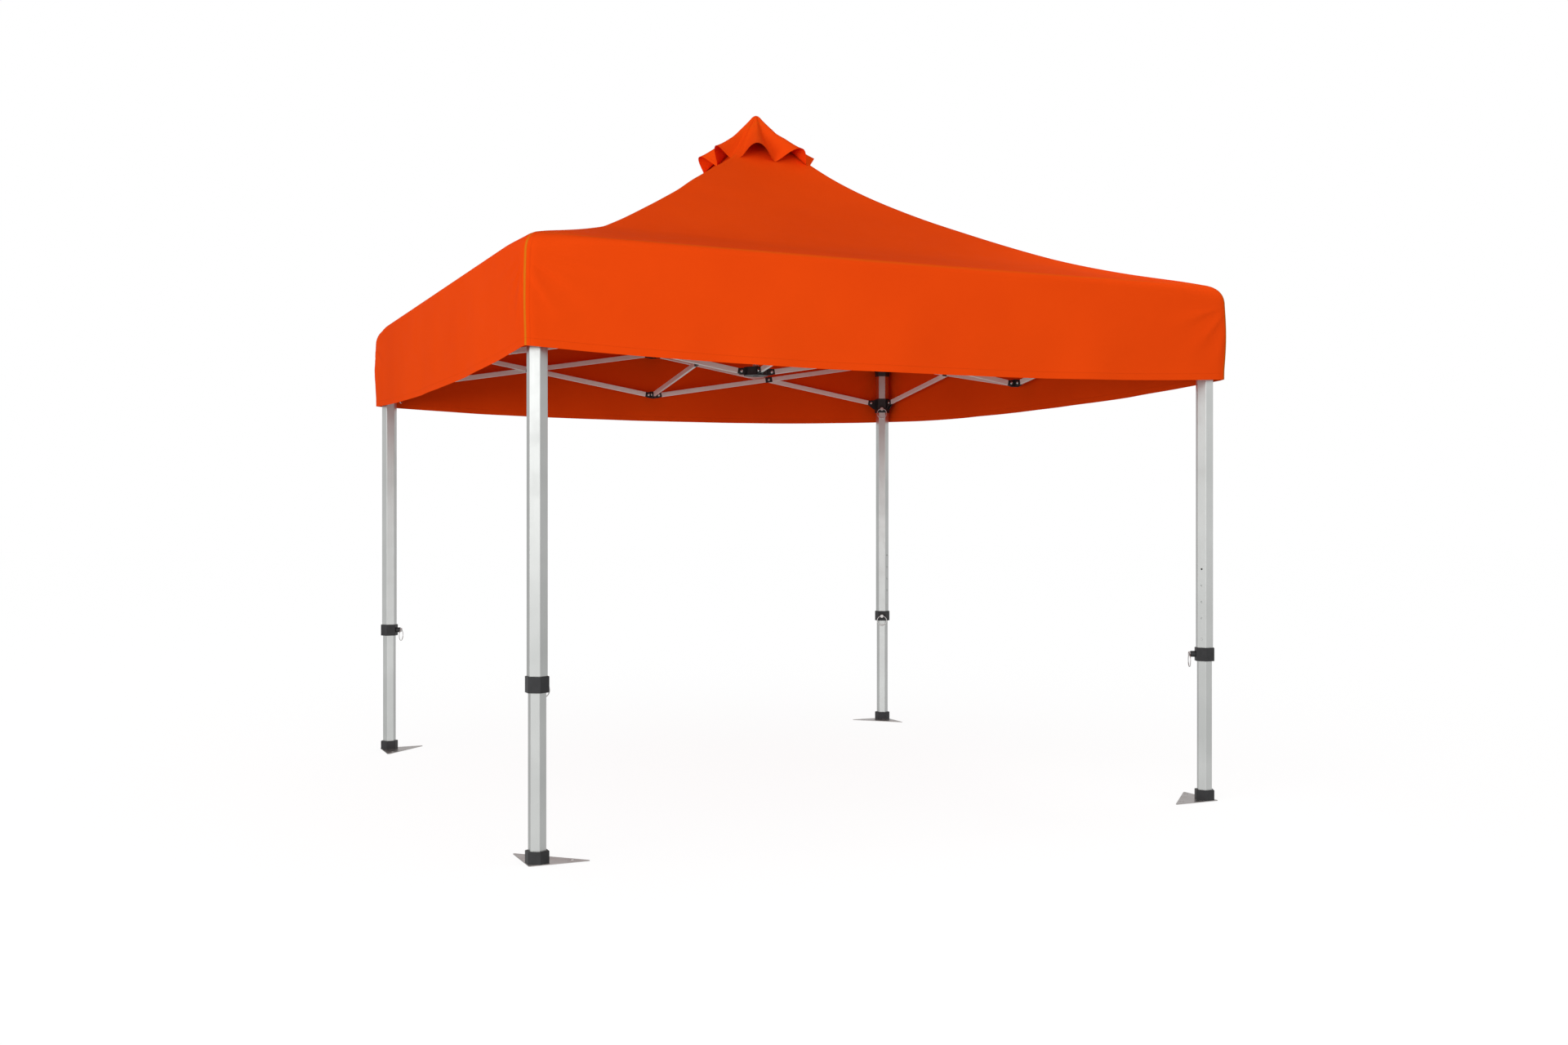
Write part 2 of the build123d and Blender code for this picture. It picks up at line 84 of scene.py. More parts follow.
def feed(tree, value, socket):
    """Sets the socket to a number or a colour, or links another node's output to it."""
    if isinstance(value, (int, float)):
        socket.default_value = value
    elif isinstance(value, tuple):
        socket.default_value = (*value, 1.0)
    else:
        link(tree, value, socket)


def split_xyz(tree, vector):
    made = node(tree, "ShaderNodeSeparateXYZ")
    link(tree, vector, made.inputs["Vector"])
    return made.outputs["X"], made.outputs["Y"], made.outputs["Z"]


def coords(tree):
    return node(tree, "ShaderNodeTexCoord").outputs["Object"]


def scaled(tree, vector, scale):
    mapping = node(tree, "ShaderNodeMapping")
    mapping.inputs["Scale"].default_value = scale
    link(tree, vector, mapping.inputs["Vector"])
    return mapping.outputs["Vector"]


def noise(tree, vector, scale, detail=4.0, rough=0.55):
    made = node(tree, "ShaderNodeTexNoise")
    made.inputs["Scale"].default_value = scale
    made.inputs["Detail"].default_value = detail
    made.inputs["Roughness"].default_value = rough
    link(tree, vector, made.inputs["Vector"])
    return made.outputs["Fac"]


def ramp(tree, fac, low, high, first, last):
    made = node(tree, "ShaderNodeMapRange")
    made.inputs["From Min"].default_value = low
    made.inputs["From Max"].default_value = high
    made.inputs["To Min"].default_value = first
    made.inputs["To Max"].default_value = last
    link(tree, fac, made.inputs["Value"])
    return made.outputs["Result"]


def maths(tree, operation, first, second=None):
    made = node(tree, "ShaderNodeMath", operation=operation)
    feed(tree, first, made.inputs[0])
    if second is not None:
        feed(tree, second, made.inputs[1])
    return made.outputs["Value"]


def times(tree, first, second):
    return maths(tree, "MULTIPLY", first, second)


def larger(tree, first, second):
    return maths(tree, "MAXIMUM", first, second)


def mix_colour(tree, fac, first, second):
    made = node(tree, "ShaderNodeMix", data_type="RGBA")
    for slot, value in ((0, fac), (6, first), (7, second)):
        feed(tree, value, made.inputs[slot])
    return made.outputs[2]


def mix_value(tree, fac, first, second):
    made = node(tree, "ShaderNodeMix", data_type="FLOAT")
    for slot, value in ((0, fac), (2, first), (3, second)):
        feed(tree, value, made.inputs[slot])
    return made.outputs[0]


def bump(tree, shader, height, strength, distance, after=None):
    made = node(tree, "ShaderNodeBump")
    made.inputs["Strength"].default_value = strength
    made.inputs["Distance"].default_value = distance
    link(tree, height, made.inputs["Height"])
    if after is not None:
        link(tree, after, made.inputs["Normal"])
    link(tree, made.outputs["Normal"], shader.inputs["Normal"])
    return made.outputs["Normal"]


# ------------------------------------------------------------------ materials


HEM_FOLD = 0.029  # depth of the doubled hem
SEAM_TAPE = 0.024  # half width of the tape over a corner seam
EAVE_DROP = 0.425  # the eave from the hem, along the cloth
STITCH_WAVES = 1570.0  # radians to the metre: 4 mm stitches
WEAVE_WAVES = 5200.0


def fabric_material(name, base, shade, tape_and_highlight):
    """Coated woven polyester: weave, faint creases, seam tape, and stitch rows along its own edges,
    with painted highlights in a yellower colour along the seam tape and over the eave.
    """
    mat, tree, shader = new_material(name)
    cloth = node(tree, "ShaderNodeUVMap", uv_map="cloth").outputs["UV"]
    edges = node(tree, "ShaderNodeUVMap", uv_map="edges").outputs["UV"]
    where = coords(tree)

    mottling = noise(tree, where, 1.6, 3.0)
    tint = mix_colour(tree, ramp(tree, mottling, 0.35, 0.7, 0.0, 1.0), base, shade)
    from_seam, from_hem, _ = split_xyz(tree, edges)

    # the doubled cloth of a hem and of a seam allowance is a little deeper in colour
    hem_band = ramp(tree, from_hem, HEM_FOLD - 0.0005, HEM_FOLD + 0.0005, 1.0, 0.0)
    # the corner seams are taped on the valance and pressed almost flat on the roof
    shown = ramp(tree, from_hem, 0.36, 0.44, 1.0, 0.12)
    seam_band = ramp(tree, from_seam, SEAM_TAPE - 0.0005, SEAM_TAPE + 0.0005, 1.0, 0.0)
    doubled = larger(tree, hem_band, times(tree, seam_band, shown))
    tint = mix_colour(tree, times(tree, doubled, 0.22), tint, shade)
    # a painted highlight: a narrow yellower line down the middle of the corner seam tape, which is
    # also the tape's raised ridge in the bump below
    ridge_and_highlight = times(tree, ramp(tree, from_seam, 0.0040, 0.0085, 1.0, 0.0), shown)
    tint = mix_colour(tree, times(tree, ridge_and_highlight, 0.95), tint, tape_and_highlight)

    # a painted highlight: the cloth is painted paler and yellower in a narrow band where it bends over
    # the eave
    off_eave = maths(tree, "ABSOLUTE", maths(tree, "SUBTRACT", from_hem, EAVE_DROP))
    eave_highlight_band = ramp(tree, off_eave, 0.003, 0.012, 0.24, 0.0)
    eave_highlight = times(tree, eave_highlight_band, ramp(tree, mottling, 0.3, 0.6, 0.5, 1.0))
    tint = mix_colour(tree, eave_highlight, tint, tape_and_highlight)

    # stitches: short dashes along two rows beside each seam and one above the hem
    across, along, _ = split_xyz(tree, cloth)
    dash_u = maths(tree, "SINE", times(tree, across, STITCH_WAVES))
    dash_v = maths(tree, "SINE", times(tree, along, STITCH_WAVES))

    def row(distance, centre, dashes):
        off = maths(tree, "ABSOLUTE", maths(tree, "SUBTRACT", distance, centre))
        line = ramp(tree, off, 0.0006, 0.0011, 1.0, 0.0)
        return times(tree, line, ramp(tree, dashes, -0.3, 0.1, 0.0, 1.0))

    seam_rows = larger(tree, row(from_seam, 0.0075, dash_v), row(from_seam, 0.0215, dash_v))
    seam_rows = times(tree, seam_rows, shown)
    stitches = larger(tree, row(from_hem, 0.0265, dash_u), seam_rows)
    thread = tuple(0.60 * c for c in shade)
    tint = mix_colour(tree, times(tree, stitches, 0.38), tint, thread)
    link(tree, tint, shader.inputs["Base Color"])

    # weave, and creases left from packing
    warp = maths(tree, "SINE", times(tree, across, WEAVE_WAVES))
    weft = maths(tree, "SINE", times(tree, along, WEAVE_WAVES))
    first = bump(tree, shader, times(tree, warp, weft), 0.22, 0.0004)
    creases = noise(tree, scaled(tree, where, (2.2, 2.2, 3.4)), 2.1, 5.0, 0.5)
    second = bump(tree, shader, creases, 0.30, 0.010, first)
    relief = maths(tree, "ADD", times(tree, doubled, 0.5), ridge_and_highlight)
    relief = maths(tree, "SUBTRACT", relief, times(tree, stitches, 0.7))
    bump(tree, shader, relief, 0.5, 0.0012, second)

    scuffs = noise(tree, where, 9.0, 5.0)
    link(tree, ramp(tree, scuffs, 0.3, 0.75, 0.68, 0.80), shader.inputs["Roughness"])
    shader.inputs["Specular IOR Level"].default_value = 0.005
    return mat


def metal_nodes(tree, along, base, dark):
    """Drawn, satin aluminium: fine lines along the tube, faint tarnish and handling marks."""
    where = coords(tree)
    lines = noise(tree, scaled(tree, where, along), 1.0, 3.0, 0.6)
    marks = noise(tree, where, 14.0, 6.0, 0.62)
    cloudy = noise(tree, where, 3.0, 3.0)
    tint = mix_colour(tree, ramp(tree, cloudy, 0.35, 0.7, 0.0, 1.0), base, dark)
    fine = ramp(tree, lines, 0.3, 0.7, 0.27, 0.36)
    rough = maths(tree, "ADD", fine, ramp(tree, marks, 0.45, 0.75, 0.0, 0.10))
    return where, lines, marks, tint, rough


def plastic_tint(tree, where, scale, detail, base, lighter):
    cloudy = noise(tree, where, scale, detail)
    return mix_colour(tree, ramp(tree, cloudy, 0.3, 0.7, 0.0, 1.0), base, lighter)


def banded_leg(name, base, dark, bands, plate_below=None):
    """A leg node: bare aluminium with black mouldings at the heights in bands, and the foot plate."""
    mat, tree, shader = new_material(name)
    where, lines, marks, tint, rough = metal_nodes(tree, ALONG_LEG, base, dark)
    z = split_xyz(tree, where)[2]
    mask = None
    for low, high in bands:
        above, below = maths(tree, "GREATER_THAN", z, low), maths(tree, "LESS_THAN", z, high)
        inside = times(tree, above, below)
        mask = inside if mask is None else larger(tree, mask, inside)
    if plate_below is not None:
        plate = maths(tree, "LESS_THAN", z, plate_below)
        tint = mix_colour(tree, plate, tint, mix_colour(tree, marks, *PLATE))
    grain = noise(tree, where, 900.0, 2.0)
    plastic = plastic_tint(tree, where, 30.0, 4.0, *BAND_PLASTIC)
    link(tree, mix_colour(tree, mask, tint, plastic), shader.inputs["Base Color"])
    link(tree, maths(tree, "SUBTRACT", 1.0, mask), shader.inputs["Metallic"])
    plastic_rough = ramp(tree, grain, 0.2, 0.8, 0.40, 0.52)
    link(tree, mix_value(tree, mask, rough, plastic_rough), shader.inputs["Roughness"])
    bump(tree, shader, mix_colour(tree, mask, lines, grain), 0.10, 0.0004)
    return mat


def bar_material(name, base, dark, middle, axis):
    """A truss bar: aluminium with black end plugs beyond its tube from the middle along axis; its
    pale, warm colour is partly a painted reflection of the floor and the cloth.
    """
    mat, tree, shader = new_material(name)
    stretch = tuple(4 if abs(a) > 0.5 else 900 for a in axis)
    where, lines, _, tint, rough = metal_nodes(tree, stretch, base, dark)
    away = node(tree, "ShaderNodeVectorMath", operation="DISTANCE")
    away.inputs[1].default_value = middle
    link(tree, where, away.inputs[0])
    mask = maths(tree, "GREATER_THAN", away.outputs["Value"], TUBE_HALF)
    grain = noise(tree, where, 900.0, 2.0)
    link(tree, mix_colour(tree, mask, tint, (0.026, 0.026, 0.028)), shader.inputs["Base Color"])
    plug_share = times(tree, mask, BAR_METALLIC)
    link(tree, maths(tree, "SUBTRACT", BAR_METALLIC, plug_share), shader.inputs["Metallic"])
    link(tree, mix_value(tree, mask, rough, 0.46), shader.inputs["Roughness"])
    bump(tree, shader, mix_colour(tree, mask, lines, grain), 0.10, 0.0004)
    return mat


def plastic_material(name, base, lighter, rough=0.42):
    mat, tree, shader = new_material(name)
    where = coords(tree)
    link(tree, plastic_tint(tree, where, 24.0, 4.0, base, lighter), shader.inputs["Base Color"])
    grain = noise(tree, where, 1100.0, 2.0)
    link(tree, ramp(tree, grain, 0.2, 0.8, rough, rough + 0.12), shader.inputs["Roughness"])
    bump(tree, shader, grain, 0.12, 0.0003)
    return mat


def metal_material(name, base, dark, along=(60, 60, 60), low=0.22, high=0.34):
    mat, tree, shader = new_material(name)
    _, lines, marks, tint, _ = metal_nodes(tree, along, base, dark)
    link(tree, tint, shader.inputs["Base Color"])
    shader.inputs["Metallic"].default_value = 1.0
    link(tree, ramp(tree, marks, 0.3, 0.75, low, high), shader.inputs["Roughness"])
    bump(tree, shader, lines, 0.08, 0.0003)
    return mat


# each pair: the main colour and the one it is clouded with
ALU = ((0.785, 0.80, 0.785), (0.69, 0.705, 0.69))
# the bars' pale, warm colour, with little metal to it, is partly aluminium and partly a painted
# reflection of the pale floor and of the orange cloth above them
BAR_AND_REFLECTION = ((0.96, 0.91, 0.87), (0.90, 0.85, 0.81))
PLATE = ((0.63, 0.585, 0.575), (0.545, 0.505, 0.49))
BAND_PLASTIC = ((0.014, 0.014, 0.015), (0.024, 0.024, 0.026))
BAR_METALLIC = 0.32
ALONG_LEG = (900, 900, 3)
# heights of the black mouldings on the legs, and of the foot plate's top
COLLAR_BAND = (0.5960, 0.6540)
BRACKET_BAND = (2.0655, 2.1560)
CAP_BAND = (0.0031, 0.0465)
PLATE_TOP = 0.00305

FABRIC = fabric_material(
    "canopy_fabric",
    base=(0.88, 0.070, 0.0042),
    shade=(0.84, 0.064, 0.0040),
    # the yellower colour of the painted highlights along the seam tape and over the eave
    tape_and_highlight=(0.62, 0.16, 0.008),
)
OUTER = banded_leg("outer_leg_metal", *ALU, [COLLAR_BAND, BRACKET_BAND])
INNER = banded_leg("inner_leg_metal", *ALU, [CAP_BAND], plate_below=PLATE_TOP)
PLASTIC = plastic_material("moulded_plastic", (0.012, 0.012, 0.013), (0.022, 0.022, 0.023))
MAST = metal_material("mast_metal", *ALU, along=ALONG_LEG, low=0.28, high=0.4)


def paint(name, mat):
    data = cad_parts[name].data
    data.materials.clear()
    data.materials.append(mat)
    for p in data.polygons:
        p.material_index = 0


for corner in CORNERS:
    paint(f"outer_leg_{corner}", OUTER)
    paint(f"inner_leg_{corner}", INNER)
    paint(f"slider_{corner}", PLASTIC)
for name in ("upper_hub", "lower_hub", "peak_cap"):
    paint(name, PLASTIC)
for name in ("mast_tube", "mast_sleeve", "mast_rod"):
    paint(name, MAST)

X_WAY, Y_WAY = (1, 0, 0), (0, 1, 0)


def turned(point, turn):
    """The point a number of quarter turns round the mast."""
    x, y, z = point
    for _ in range(turn):
        x, y = -y, x
    return (x, y, z)


for turn, side in enumerate(SIDES):
    paint(f"upper_mid_joint_{side}", PLASTIC)
    paint(f"lower_mid_joint_{side}", PLASTIC)
    for kind, plane in (("slider_bar", -LEG_OUT - SIDE_PLANE), ("leg_bar", -LEG_OUT)):
        for half, sign in ((1, -1), (2, 1)):
            middle = turned((sign * SIDE_CROSSING, plane, CROSSING), turn)
            mat = bar_material(f"{kind}_metal_{side}_{half}", *BAR_AND_REFLECTION, middle, turned(X_WAY, turn))
            paint(f"{kind}_{side}_{half}", mat)
    for kind, plane in (("upper_hub_bar", HUB_PLANE), ("lower_hub_bar", -HUB_PLANE)):
        middle = turned((plane, -HUB_CROSSING, CROSSING), turn)
        mat = bar_material(f"{kind}_metal_{side}", *BAR_AND_REFLECTION, middle, turned(Y_WAY, turn))
        paint(f"{kind}_{side}", mat)

STEEL = metal_material("plated_steel", (0.80, 0.77, 0.76), (0.69, 0.665, 0.655), low=0.24, high=0.36)
BOLT = metal_material("bolt_steel", (0.86, 0.86, 0.85), (0.70, 0.70, 0.69), low=0.20, high=0.32)
for corner in CORNERS:
    paint(f"collar_pin_{corner}", STEEL)
    paint(f"slider_pin_{corner}", STEEL)


# ------------------------------------------------------------------ fittings

# half of a bolt head's section: (radius, height over its foot)
HEAD_OUTLINE = (
    (0.0, 0.0),
    (0.0073, 0.0),
    (0.0074, 0.0007),
    (0.0068, 0.0010),
    (0.0066, 0.0022),
    (0.0058, 0.0033),
    (0.0044, 0.0039),
    (0.0032, 0.0040),
    (0.0029, 0.0036),
    (0.0027, 0.0036),
    (0.0, 0.0036),
)
HEAD_STEPS = 24


def placed(name, data):
    """A new object with this mesh, in the scene."""
    obj = bpy.data.objects.new(name, data)
    bpy.context.scene.collection.objects.link(obj)
    return obj


def solid_mesh(name, verts, faces, weld=False):
    """A mesh whose faces all look outwards, with points at one place joined if weld is set."""
    data = bpy.data.meshes.new(name)
    data.from_pydata(verts, [], faces)
    shape = bmesh.new()
    shape.from_mesh(data)
    if weld:
        bmesh.ops.remove_doubles(shape, verts=shape.verts, dist=1e-6)
    bmesh.ops.recalc_face_normals(shape, faces=shape.faces)
    shape.to_mesh(data)
    shape.free()
    return data


def bolt_heads(name, body, places):
    """Turned, domed bolt heads with a washer edge and a shallow socket, one for each (foot, way)."""
    verts, faces = [], []
    for foot, way in places:
        turn = Vector(way).to_track_quat("Z", "Y").to_matrix()
        start = len(verts)
        for radius, height in HEAD_OUTLINE:
            for k in range(HEAD_STEPS):
                angle = 2 * math.pi * k / HEAD_STEPS
                local = Vector((radius * math.cos(angle), radius * math.sin(angle), height))
                verts.append(tuple(Vector(foot) + turn @ local))
        for r in range(len(HEAD_OUTLINE) - 1):
            for k in range(HEAD_STEPS):
                a = start + r * HEAD_STEPS + k
                b = start + r * HEAD_STEPS + (k + 1) % HEAD_STEPS
                faces.append((a, b, b + HEAD_STEPS, a + HEAD_STEPS))
    data = solid_mesh(name, verts, faces, weld=True)
    for p in data.polygons:
        p.use_smooth = True
    data.materials.append(BOLT)
    obj = placed(name, data)
    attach(obj, body)


def both_ends(pivot, way, low, high):
    """The feet of the two heads of a bolt along way, at these distances from its pivot."""
    centre, along = Vector(pivot), Vector(way)
    return [
        (tuple(centre + along * low), tuple(-along)),
        (tuple(centre + along * high), tuple(along)),
    ]


CLIP_FACE, CLIP_EDGE = 0.0084, 0.0152  # the clip's outside from the bar's centre line
# half of the clip's section: (towards its face, across the bar)
CLIP_OUTSIDE = (
    (-0.0045, 0.0146),
    (-0.0040, CLIP_EDGE),
    (0.0066, CLIP_EDGE),
    (0.0078, 0.0147),
    (CLIP_FACE, 0.0136),
    (CLIP_FACE, 0.0),
)
CLIP_INSIDE = ((-0.0045, 0.0132), (0.0067, 0.0132))
# its stations along the bar, each with how far its outside is drawn in
CLIP_STATIONS = (
    (-0.0215, 0.0007),
    (-0.0208, 0.0),
    (-0.0070, 0.0),
    (0.0070, 0.0),
    (0.0208, 0.0),
    (0.0215, 0.0007),
)
# section of the raised ring round the bolt: (radius, towards the face)
CLIP_RING = (
    (0.0098, 0.0080),
    (0.0098, 0.0090),
    (0.0092, 0.0096),
    (0.0082, 0.0096),
    (0.0078, 0.0092),
    (0.0078, 0.0080),
)


def crossing_clip(name, body, middle, face, along):
    """A moulded saddle over the face and both edges of a bar, where another bar crosses behind it."""
    forth = Vector(face).normalized()
    run = Vector(along).normalized()
    up = forth.cross(run)
    outside = list(CLIP_OUTSIDE) + [(a, -b) for a, b in CLIP_OUTSIDE[-2::-1]]
    inside = [(a, -b) for a, b in CLIP_INSIDE] + list(CLIP_INSIDE[::-1])
    outline = outside + inside
    count = len(outline)
    verts, faces = [], []
    for station, inset in CLIP_STATIONS:
        for k, (a, b) in enumerate(outline):
            shrink = inset if k < len(outside) else 0.0
            a = min(a, CLIP_FACE - shrink)
            b = max(-CLIP_EDGE + shrink, min(CLIP_EDGE - shrink, b))
            verts.append(tuple(Vector(middle) + run * station + forth * a + up * b))
    last = len(CLIP_STATIONS) - 1
    for r in range(last):
        for k in range(count):
            n = (k + 1) % count
            faces.append((r * count + k, r * count + n, (r + 1) * count + n, (r + 1) * count + k))
    for base in (0, last * count):
        faces.append(tuple(base + k for k in range(count)))
    start = len(verts)
    for radius, lift in CLIP_RING:
        for k in range(HEAD_STEPS):
            angle = 2 * math.pi * k / HEAD_STEPS
            spot = forth * lift + run * (radius * math.cos(angle)) + up * (radius * math.sin(angle))
            verts.append(tuple(Vector(middle) + spot))
    for r in range(len(CLIP_RING)):
        this, after = start + r * HEAD_STEPS, start + (r + 1) % len(CLIP_RING) * HEAD_STEPS
        for k in range(HEAD_STEPS):
            n = (k + 1) % HEAD_STEPS
            faces.append((this + k, this + n, after + n, after + k))
    data = solid_mesh(name, verts, faces)
    data.materials.append(PLASTIC)
    obj = placed(name, data)
    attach(obj, body)


EAR = 0.0109  # a pivot bolt's heads stand this far to each side of its bar
CROSSING_BOLT = (-0.0228, 0.0065)  # a crossing bolt's heads, behind and before its front bar
CROSSING_RUN, CROSSING_FALL = 1.358, -0.226  # a crossing bar's extent along its side and in height

for hub, height, aside in (("upper_hub", PIVOT_HIGH, HUB_PLANE), ("lower_hub", PIVOT_LOW, -HUB_PLANE)):
    places = []
    for turn in range(4):
        pivot = turned((aside, -HUB_PIVOT, height), turn)
        places += both_ends(pivot, turned(X_WAY, turn), -EAR, EAR)
    bolt_heads(f"{hub}_bolt_heads", hub, places)
for turn, side in enumerate(SIDES):
    x_way, y_way = turned(X_WAY, turn), turned(Y_WAY, turn)
    for level, height, line, inner in (
        ("upper", PIVOT_HIGH, -LEG_OUT - SIDE_PLANE, -HUB_PLANE),
        ("lower", PIVOT_LOW, -LEG_OUT, HUB_PLANE),
    ):
        places = both_ends(turned((inner, -MID_HUB_PIVOT, height), turn), x_way, -EAR, EAR)
        for x in (-MID_PIVOT, MID_PIVOT):
            places += both_ends(turned((x, line, height), turn), y_way, -EAR, EAR)
        bolt_heads(f"{level}_mid_bolt_heads_{side}", f"{level}_mid_joint_{side}", places)
    for half, sign in ((1, -1), (2, 1)):
        middle = turned((sign * SIDE_CROSSING, -LEG_OUT, CROSSING), turn)
        places = both_ends(middle, y_way, *CROSSING_BOLT)
        bolt_heads(f"crossing_bolt_heads_{side}_{half}", f"leg_bar_{side}_{half}", places)
        along = turned((-sign * CROSSING_RUN, 0.0, CROSSING_FALL), turn)
        crossing_clip(f"crossing_clip_{side}_{half}", f"leg_bar_{side}_{half}", middle, y_way, along)
    middle = turned((HUB_PLANE, -HUB_CROSSING, CROSSING), turn)
    places = both_ends(middle, x_way, *CROSSING_BOLT)
    bolt_heads(f"hub_crossing_bolt_heads_{side}", f"upper_hub_bar_{side}", places)
    along = turned((0.0, -CROSSING_RUN, CROSSING_FALL), turn)
    crossing_clip(f"hub_crossing_clip_{side}", f"upper_hub_bar_{side}", middle, x_way, along)
for turn, corner in enumerate(CORNERS):
    for kind, body, line, height in (
        ("bracket", "outer_leg", -LEG_OUT, PIVOT_HIGH),
        ("slider", "slider", -LEG_OUT - SIDE_PLANE, PIVOT_LOW),
    ):
        to_side = turned((-CORNER_PIVOT, line, height), turn)
        to_next = turned((line, -CORNER_PIVOT, height), turn)
        places = both_ends(to_side, turned(Y_WAY, turn), -EAR, EAR)
        places += both_ends(to_next, turned(X_WAY, turn), -EAR, EAR)
        bolt_heads(f"{kind}_bolt_heads_{corner}", f"{body}_{corner}", places)

# ------------------------------------------------------------------ fabric shape

HALF = 1.525  # half the width over the valance
# the middle of a roof face: (distance from the mast, height)
ROOF = (
    (0.020, 3.030),
    (0.090, 2.966),
    (0.188, 2.871),
    (0.274, 2.789),
    (0.387, 2.699),
    (0.498, 2.624),
    (0.607, 2.558),
    (0.715, 2.499),
    (0.821, 2.443),
    (0.925, 2.391),
    (1.028, 2.344),
    (1.130, 2.305),
    (1.229, 2.272),
    (1.328, 2.243),
    (1.425, 2.216),
    (1.472, 2.201),
    (HALF, 2.184),
)
# how much higher the front left hip stands, drawn up fuller than the others
SWELL = (
    (0.020, 0.000),
    (0.150, 0.000),
    (0.220, 0.012),
    (0.300, 0.036),
    (0.400, 0.053),
    (0.510, 0.057),
    (0.630, 0.046),
    (0.745, 0.037),
    (0.852, 0.029),
    (0.955, 0.019),
    (1.054, 0.008),
    (1.120, 0.000),
    (HALF, 0.000),
)


def smooth_curve(points):
    """A shape-keeping cubic through the points."""
    xs, ys = np.array(points).T
    step = np.diff(xs)
    slope = np.diff(ys) / step
    m = np.zeros(len(xs))
    m[0], m[-1] = slope[0], slope[-1]
    for i in range(1, len(xs) - 1):
        if slope[i - 1] * slope[i] > 0:
            w1 = 2 * step[i] + step[i - 1]
            w2 = step[i] + 2 * step[i - 1]
            m[i] = (w1 + w2) / (w1 / slope[i - 1] + w2 / slope[i])

    def at(x):
        x = np.clip(x, xs[0], xs[-1])
        i = np.clip(np.searchsorted(xs, x, side="right") - 1, 0, len(xs) - 2)
        h = xs[i + 1] - xs[i]
        u = (x - xs[i]) / h
        return (
            (1 + 2 * u) * (1 - u) ** 2 * ys[i]
            + u * (1 - u) ** 2 * h * m[i]
            + u * u * (3 - 2 * u) * ys[i + 1]
            + u * u * (u - 1) * h * m[i + 1]
        )

    return at


def smooth_step(x):
    return x * x * (3 - 2 * x)


roof_at = smooth_curve(ROOF)
swell_at = smooth_curve(SWELL)


def side_steps(count):
    """Places along a side from -1 to 1, closer together near the corners."""
    w = np.linspace(-1, 1, count + 1)
    return 0.5 * np.sin(np.pi / 2 * w) + 0.5 * w


def ripples(u, waves):
    """A smooth, fixed, irregular wave along u: the sum of waves of (length, size, phase)."""
    total = np.zeros_like(u)
    for length, size, phase in waves:
        total = total + size * np.sin(2 * np.pi * u / length + phase)
    return total


def quarter_turns(points, turns):
    for _ in range(turns):
        points = np.stack([-points[:, 1], points[:, 0], points[:, 2]], axis=1)
    return points


COLUMNS = 120  # to a side
ROOF_ROWS, ROLL_ROWS, DROP_ROWS = 70, 12, 34  # rows on the roof, over the eave and down the valance
DROP_FROM = ROOF_ROWS + ROLL_ROWS
ROWS = DROP_FROM + DROP_ROWS + 1
HEM = 1.762  # the hem's height in the middle of a side
HEM_RISE = 0.035  # how much higher it is at the corners
ROOF_SAG = 0.016  # a roof face's middle hangs this much below its hips
DROP = 0.37  # about the valance's height


def section(t, side):
    """One slice of the cloth from peak to hem, at t along a side: distances from the mast, heights."""
    near = abs(t)
    roll = 0.026 + 0.032 * smooth_step(np.clip((near - 0.80) / 0.20, 0, 1))
    s_start = HALF - roll
    w = np.linspace(0, 1, ROOF_ROWS + 1)
    s = ROOF[0][0] + (s_start - ROOF[0][0]) * (0.35 * w + 0.65 * w**1.25)
    z = roof_at(s)
    span = np.clip((s - 0.2) / (1.35 - 0.2), 0, 1)
    z = z - ROOF_SAG * np.sin(np.pi * span) ** 1.2 * (1 - t**2)
    if side == 0:
        z = z + swell_at(s) * (1 - (t + 1) / 2) ** 2.0
    elif side == 3:
        z = z + swell_at(s) * ((t + 1) / 2) ** 1.6
    # over the eave: a curve from the roof's slope to the plumb valance
    slope = (roof_at(s_start) - roof_at(s_start - 0.02)) / 0.02
    ctrl_z = z[-1] + slope * roll
    end_z = ctrl_z - roll * 1.25
    q = np.linspace(0, 1, ROLL_ROWS + 1)[1:]
    rs = (1 - q) ** 2 * s_start + 2 * (1 - q) * q * HALF + q * q * HALF
    rz = (1 - q) ** 2 * z[-1] + 2 * (1 - q) * q * ctrl_z + q * q * end_z
    # down the valance, which bellies out a little
    hem = HEM + HEM_RISE * near**2.4
    d = np.linspace(0, 1, DROP_ROWS + 1)[1:]
    dz = end_z + (hem - end_z) * d
    ds = HALF + 0.004 * np.sin(np.pi * np.clip(d * 1.15, 0, 1)) - 0.002 * d**2
    return np.concatenate([s, rs, ds]), np.concatenate([z, rz, dz])


